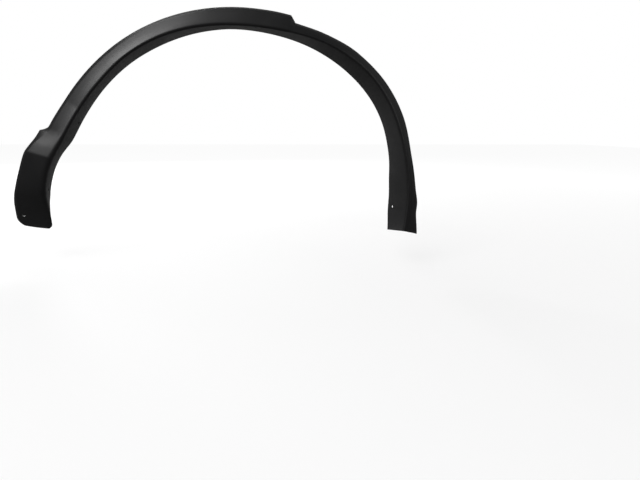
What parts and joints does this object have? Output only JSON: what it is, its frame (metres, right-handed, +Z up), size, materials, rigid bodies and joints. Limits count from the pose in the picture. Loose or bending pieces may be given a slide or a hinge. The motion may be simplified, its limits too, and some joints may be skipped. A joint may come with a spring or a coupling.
{
  "type": "wheel arch trim",
  "caption": "Black plastic trim for a van's wheel arch: a curved channel with a lip into the opening, a broad notched foot, clip plugs and screw grommets on its back.",
  "frame": {"origin": "centre of the crown grommet's screw bore, on the plane of the body panel", "axes": "+X runs along the vehicle towards the trim's narrow leg, +Y into the vehicle's body, +Z up"},
  "size_m": [0.9866, 0.0787, 0.5517],
  "materials": {
    "moulding": "fine moulded grain with a satin sheen",
    "nylon": "natural nylon, smooth",
    "grommet": "smooth and glossy"
  },
  "bodies": {
    "root": {"arch_moulding": "moulding", "nylon_plug_1": "nylon", "nylon_plug_2": "nylon", "nylon_plug_3": "nylon", "nylon_plug_4": "nylon", "nylon_plug_5": "nylon", "crown_grommet": "grommet", "front_grommet": "grommet", "rear_grommet": "grommet", "leg_grommet": "grommet"}
  },
  "joints": []
}
